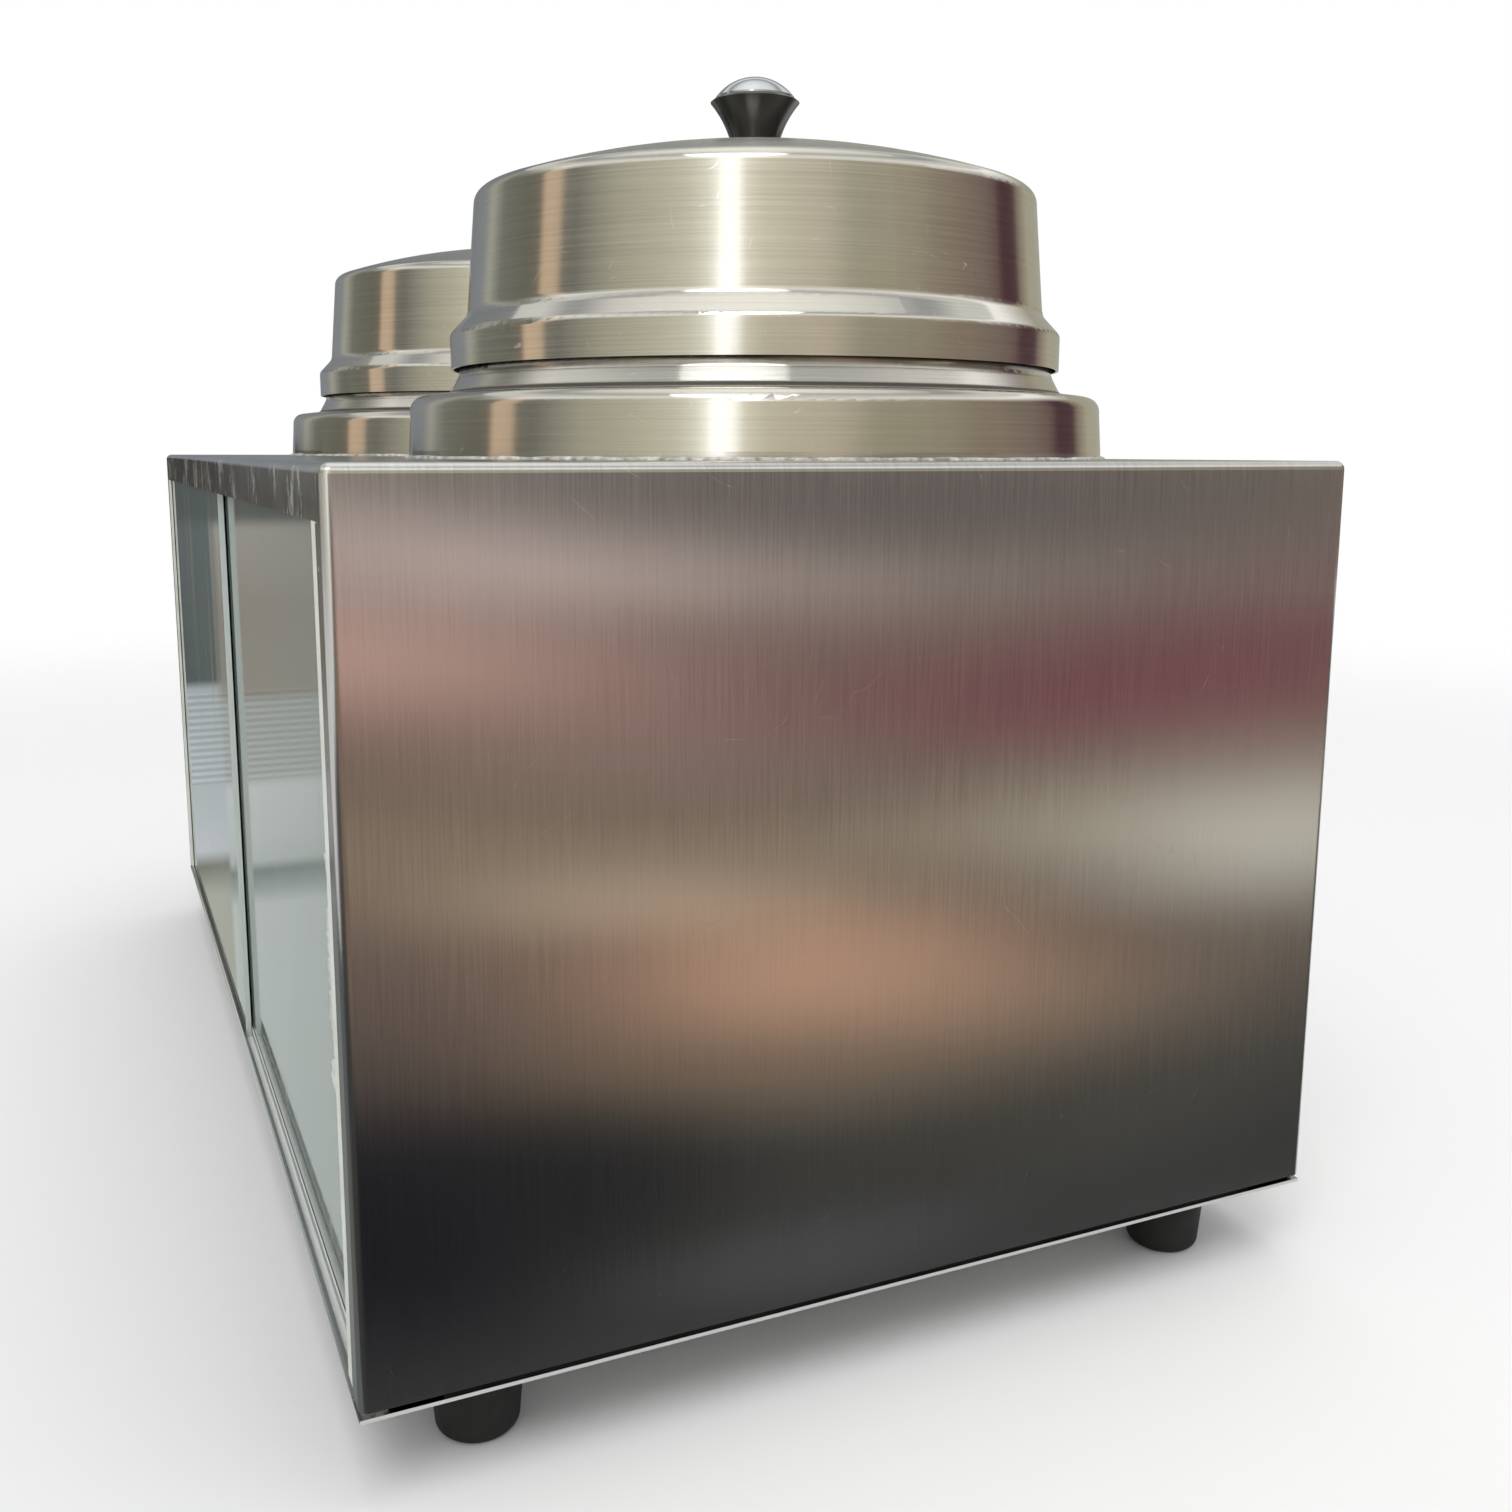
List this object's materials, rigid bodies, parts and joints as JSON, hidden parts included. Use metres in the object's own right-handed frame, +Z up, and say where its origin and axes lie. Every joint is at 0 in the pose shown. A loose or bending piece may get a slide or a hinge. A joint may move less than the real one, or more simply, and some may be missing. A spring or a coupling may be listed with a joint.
{
  "type": "topping warmer",
  "caption": "Free-standing twin-well stainless topping warmer with lift-out insets under tall knobbed lids, a lit sign front with sliding panes, rear thermostat knobs and rubber feet.",
  "frame": {"origin": "middle of the footprint, rear controls included, at the height of the feet soles", "axes": "+Z up, +X along the row of wells, -Y towards the sign front, +Y towards the rear controls"},
  "size_m": [0.462, 0.2778, 0.3281],
  "materials": {
    "amber_lens": "amber lens",
    "ballast_paint": "black paint",
    "black_phenolic": "black phenolic moulding",
    "bright_chrome": "bright chrome",
    "copper": "copper tube",
    "drawn_steel": "drawn stainless, satin",
    "foot_rubber": "black moulded rubber",
    "gland_plastic": "black nylon",
    "glass_wool": "glass wool blanket",
    "heater_aluminium": "cast aluminium",
    "lamp_glass": "phosphor coated glass",
    "lamp_plastic": "white moulded plastic",
    "pan_steel": "satin stainless sheet",
    "screw_steel": "stainless fastener",
    "shaft_steel": "turned steel",
    "sign_acrylic": "polished grey-green translucent acrylic",
    "spun_steel": "spun stainless, brushed round the axis",
    "switch_plastic": "black moulded plastic",
    "terminal_plastic": "cream moulded plastic",
    "thermostat_shell": "plated steel shell",
    "track_aluminium": "bright aluminium extrusion",
    "white_enamel": "white enamel",
    "white_vinyl": "white vinyl strip",
    "wire_silicone": "silicone wire insulation",
    "wrapper_steel": "vertically brushed stainless sheet",
    "zinc_plate": "zinc plated steel"
  },
  "bodies": {
    "housing": {"base_angle_left": "zinc_plate", "base_angle_right": "zinc_plate", "base_pan": "pan_steel", "base_screws": "screw_steel", "body_wrapper": "wrapper_steel", "cord_gland": "gland_plastic", "foot_front_left": "foot_rubber", "foot_front_right": "foot_rubber", "foot_nuts": "screw_steel", "foot_rear_left": "foot_rubber", "foot_rear_right": "foot_rubber", "foot_screws": "screw_steel", "heater_clamp_left": "zinc_plate", "heater_clamp_right": "zinc_plate", "heater_nuts": "screw_steel", "heater_plate_left": "heater_aluminium", "heater_plate_right": "heater_aluminium", "insulation_wrap_left": "glass_wool", "insulation_wrap_right": "glass_wool", "jamb_strip_left": "white_vinyl", "jamb_strip_right": "white_vinyl", "lamp_ballast": "ballast_paint", "lamp_holders": "lamp_plastic", "lamp_tube": "lamp_glass", "pilot_holders": "bright_chrome", "pilot_lens_left": "amber_lens", "pilot_lens_right": "amber_lens", "rear_panel": "pan_steel", "rear_panel_screws": "screw_steel", "reflector": "white_enamel", "sensing_bulb_left": "copper", "sensing_bulb_right": "copper", "sign_track_bottom": "track_aluminium", "sign_track_top": "track_aluminium", "switch_housing": "switch_plastic", "terminal_block": "terminal_plastic", "thermostat_left": "thermostat_shell", "thermostat_right": "thermostat_shell", "well_collar_left": "spun_steel", "well_collar_right": "spun_steel", "well_vessel_left": "drawn_steel", "well_vessel_right": "drawn_steel", "wiring": "wire_silicone"},
    "inset_left": {"inset_jar_left": "drawn_steel"},
    "lid_left": {"lid_left": "spun_steel", "lid_knob_left": "black_phenolic", "knob_cap_left": "bright_chrome", "knob_screw_left": "screw_steel"},
    "control_left": {"control_knob_left": "black_phenolic", "control_shaft_left": "shaft_steel"},
    "inset_right": {"inset_jar_right": "drawn_steel"},
    "lid_right": {"lid_right": "spun_steel", "lid_knob_right": "black_phenolic", "knob_cap_right": "bright_chrome", "knob_screw_right": "screw_steel"},
    "control_right": {"control_knob_right": "black_phenolic", "control_shaft_right": "shaft_steel"},
    "pane_outer": {"sign_pane_outer": "sign_acrylic"},
    "pane_inner": {"sign_pane_inner": "sign_acrylic"},
    "rocker": {"switch_rocker": "switch_plastic"}
  },
  "joints": [
    {"name": "inset_left_lift", "type": "slide", "parent": "housing", "child": "inset_left", "axis": [0, 0, 1], "range_m": [0, 0.27]},
    {"name": "lid_left_lift", "type": "slide", "parent": "inset_left", "child": "lid_left", "axis": [0, 0, 1], "range_m": [0, 0.1]},
    {"name": "control_left_turn", "type": "hinge", "parent": "housing", "child": "control_left", "pos_m": [-0.042, 0.1211, 0.141], "axis": [0, 1, 0], "range_deg": [0, 270]},
    {"name": "inset_right_lift", "type": "slide", "parent": "housing", "child": "inset_right", "axis": [0, 0, 1], "range_m": [0, 0.27]},
    {"name": "lid_right_lift", "type": "slide", "parent": "inset_right", "child": "lid_right", "axis": [0, 0, 1], "range_m": [0, 0.1]},
    {"name": "control_right_turn", "type": "hinge", "parent": "housing", "child": "control_right", "pos_m": [0.042, 0.1211, 0.141], "axis": [0, 1, 0], "range_deg": [0, 270]},
    {"name": "pane_outer_slide", "type": "slide", "parent": "housing", "child": "pane_outer", "axis": [1, 0, 0], "range_m": [0, 0.2215]},
    {"name": "pane_inner_slide", "type": "slide", "parent": "housing", "child": "pane_inner", "axis": [-1, 0, 0], "range_m": [0, 0.2215]},
    {"name": "rocker_tip", "type": "hinge", "parent": "housing", "child": "rocker", "pos_m": [0, 0.1217, 0.099], "axis": [1, 0, 0], "range_deg": [0, 18]}
  ]
}
